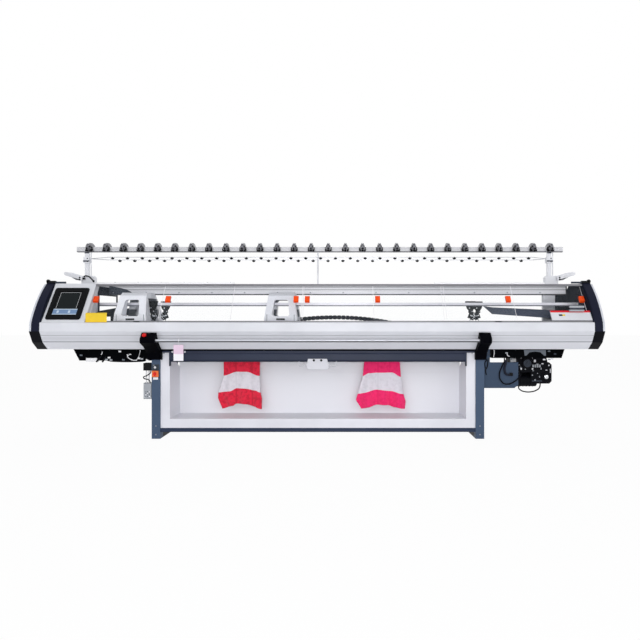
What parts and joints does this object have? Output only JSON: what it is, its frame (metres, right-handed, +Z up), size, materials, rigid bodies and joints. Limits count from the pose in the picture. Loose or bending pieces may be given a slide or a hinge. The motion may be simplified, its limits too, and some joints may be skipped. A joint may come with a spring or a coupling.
{
  "type": "flat knitting machine",
  "caption": "Long flat knitting machine with carriages on rails over its needle beds, a control screen, sliding clear covers, a yarn tension stand and a cloth box between the legs.",
  "frame": {"origin": "on the floor, in the middle of the machine's length and depth", "axes": "+X along the machine to the operator's right, +Y away from the operator, +Z up"},
  "size_m": [5.21, 0.95, 1.883],
  "materials": {
    "frame_blue": "satin paint",
    "navy_paint": "satin paint",
    "grey_paint": "satin paint",
    "white_sheet": "satin paint",
    "cast_beam": "painted",
    "bed_steel": "ground",
    "aluminium": "satin",
    "tensioner_grey": "satin",
    "clear_sheet": "clear",
    "carriage_grey": "satin paint",
    "black_plastic": "moulded",
    "chain_black": "moulded",
    "belt_rubber": "matt",
    "switch_yellow": "moulded",
    "red_plastic": "moulded",
    "knit_red": "knitted",
    "knit_pink": "knitted"
  },
  "bodies": {
    "machine": {"bottom_cross_rail": "navy_paint", "carriage_rails": "bed_steel", "control_housing": "grey_paint", "cover_tracks": "aluminium", "drive_belt": "belt_rubber", "drive_sheets": "frame_blue", "eyelet_rails": "aluminium", "fabric_box": "white_sheet", "front_base_beam": "cast_beam", "front_cover": "grey_paint", "front_needle_bed": "bed_steel", "left_end_cover": "navy_paint", "left_end_wall": "navy_paint", "left_knitted_panel": "knit_red", "left_partition": "navy_paint", "left_side_frame": "frame_blue", "rear_base_beam": "cast_beam", "rear_cover": "grey_paint", "rear_needle_bed": "bed_steel", "right_end_box": "grey_paint", "right_end_cover": "navy_paint", "right_end_wall": "navy_paint", "right_knitted_panel": "knit_pink", "right_side_frame": "frame_blue", "rod_brackets": "black_plastic", "roller_brackets": "bed_steel", "roller_cover_bar": "navy_paint", "servo_motor": "chain_black", "side_panels": "grey_paint", "switch_box": "switch_yellow", "top_beam": "grey_paint", "touch_screen": "black_plastic", "under_trays": "chain_black", "yarn_rails": "aluminium", "yarn_stand_bar": "aluminium", "yarn_stand_posts": "aluminium", "yarn_tensioners": "tensioner_grey"},
    "left_carriage": {"left_carriage_cover": "carriage_grey", "left_carriage_cams": "bed_steel"},
    "right_carriage": {"right_carriage_cover": "carriage_grey", "right_carriage_cams": "bed_steel", "cable_chain": "chain_black"},
    "idler_pulley": {"idler_pulley": "aluminium"},
    "drive_pulley": {"drive_pulley": "aluminium"},
    "front_takedown_roller": {"front_takedown_roller": "belt_rubber"},
    "rear_takedown_roller": {"rear_takedown_roller": "belt_rubber"},
    "start_rod": {"start_rod": "aluminium"},
    "emergency_button": {"emergency_button": "red_plastic"},
    "main_switch_knob": {"main_switch_knob": "red_plastic"},
    "left_tensioner_arm": {"left_tensioner_arm": "aluminium"},
    "right_tensioner_arm": {"right_tensioner_arm": "aluminium"},
    "sliding_cover_1": {"sliding_cover_1": "clear_sheet"},
    "sliding_cover_2": {"sliding_cover_2": "clear_sheet"},
    "sliding_cover_3": {"sliding_cover_3": "clear_sheet"},
    "sliding_cover_4": {"sliding_cover_4": "clear_sheet"},
    "sliding_cover_5": {"sliding_cover_5": "clear_sheet"},
    "yarn_carrier_1": {"yarn_carrier_1": "black_plastic"},
    "yarn_carrier_2": {"yarn_carrier_2": "black_plastic"},
    "yarn_carrier_3": {"yarn_carrier_3": "black_plastic"},
    "yarn_carrier_4": {"yarn_carrier_4": "black_plastic"}
  },
  "joints": [
    {"name": "left_carriage_slide", "type": "slide", "parent": "machine", "child": "left_carriage", "axis": [1, 0, 0], "range_m": [-0.15, 1.45]},
    {"name": "right_carriage_slide", "type": "slide", "parent": "machine", "child": "right_carriage", "axis": [1, 0, 0], "range_m": [-0.15, 1.45]},
    {"name": "cover_1_slide", "type": "slide", "parent": "machine", "child": "sliding_cover_1", "axis": [1, 0, 0], "range_m": [0, 0.3]},
    {"name": "cover_2_slide", "type": "slide", "parent": "machine", "child": "sliding_cover_2", "axis": [1, 0, 0], "range_m": [-0.6, 0.3]},
    {"name": "cover_3_slide", "type": "slide", "parent": "machine", "child": "sliding_cover_3", "axis": [1, 0, 0], "range_m": [-0.3, 0]},
    {"name": "cover_4_slide", "type": "slide", "parent": "machine", "child": "sliding_cover_4", "axis": [1, 0, 0], "range_m": [-0.3, 0.6]},
    {"name": "cover_5_slide", "type": "slide", "parent": "machine", "child": "sliding_cover_5", "axis": [1, 0, 0], "range_m": [-0.3, 0]},
    {"name": "yarn_carrier_1_slide", "type": "slide", "parent": "machine", "child": "yarn_carrier_1", "axis": [1, 0, 0], "range_m": [-0.4, 1.5]},
    {"name": "yarn_carrier_2_slide", "type": "slide", "parent": "machine", "child": "yarn_carrier_2", "axis": [1, 0, 0], "range_m": [-0.4, 1.5]},
    {"name": "yarn_carrier_3_slide", "type": "slide", "parent": "machine", "child": "yarn_carrier_3", "axis": [1, 0, 0], "range_m": [-1.5, 0.4]},
    {"name": "yarn_carrier_4_slide", "type": "slide", "parent": "machine", "child": "yarn_carrier_4", "axis": [1, 0, 0], "range_m": [-1.5, 0.4]},
    {"name": "idler_pulley_spin", "type": "hinge", "parent": "machine", "child": "idler_pulley", "pos_m": [-2.14, 0.292, 1], "axis": [0, 1, 0], "range_deg": [-215, 2060]},
    {"name": "drive_pulley_spin", "type": "hinge", "parent": "machine", "child": "drive_pulley", "pos_m": [2.14, 0.292, 1], "axis": [0, 1, 0], "range_deg": [-215, 2060]},
    {"name": "front_roller_spin", "type": "hinge", "parent": "machine", "child": "front_takedown_roller", "pos_m": [0, -0.011, 0.74], "axis": [1, 0, 0], "continuous": true},
    {"name": "rear_roller_spin", "type": "hinge", "parent": "machine", "child": "rear_takedown_roller", "pos_m": [0, 0.051, 0.74], "axis": [1, 0, 0], "continuous": true},
    {"name": "start_rod_turn", "type": "hinge", "parent": "machine", "child": "start_rod", "pos_m": [0, -0.438, 0.925], "axis": [1, 0, 0], "range_deg": [-20, 20], "stiffness_Nm_per_rad": 3},
    {"name": "emergency_button_press", "type": "slide", "parent": "machine", "child": "emergency_button", "axis": [0, 0.7071, -0.7071], "range_m": [0, 0.004], "stiffness_N_per_m": 800},
    {"name": "main_switch_turn", "type": "hinge", "parent": "machine", "child": "main_switch_knob", "pos_m": [-1.514, -0.26, 0.608], "axis": [0, -1, 0], "range_deg": [0, 90]},
    {"name": "left_tensioner_swing", "type": "hinge", "parent": "machine", "child": "left_tensioner_arm", "pos_m": [-2.385, 0.154, 1.52], "axis": [0, 1, 0], "range_deg": [-8, 20], "stiffness_Nm_per_rad": 20},
    {"name": "right_tensioner_swing", "type": "hinge", "parent": "machine", "child": "right_tensioner_arm", "pos_m": [2.385, 0.154, 1.52], "axis": [0, -1, 0], "range_deg": [-8, 20], "stiffness_Nm_per_rad": 20}
  ],
  "couplings": [
    {"joint": "right_carriage_slide", "follows": "left_carriage_slide", "ratio": 1},
    {"joint": "idler_pulley_spin", "follows": "left_carriage_slide", "rad_per_m": 24.691},
    {"joint": "drive_pulley_spin", "follows": "left_carriage_slide", "rad_per_m": 24.691},
    {"joint": "cover_3_slide", "follows": "cover_5_slide", "ratio": 1},
    {"joint": "rear_roller_spin", "follows": "front_roller_spin", "ratio": -1}
  ]
}
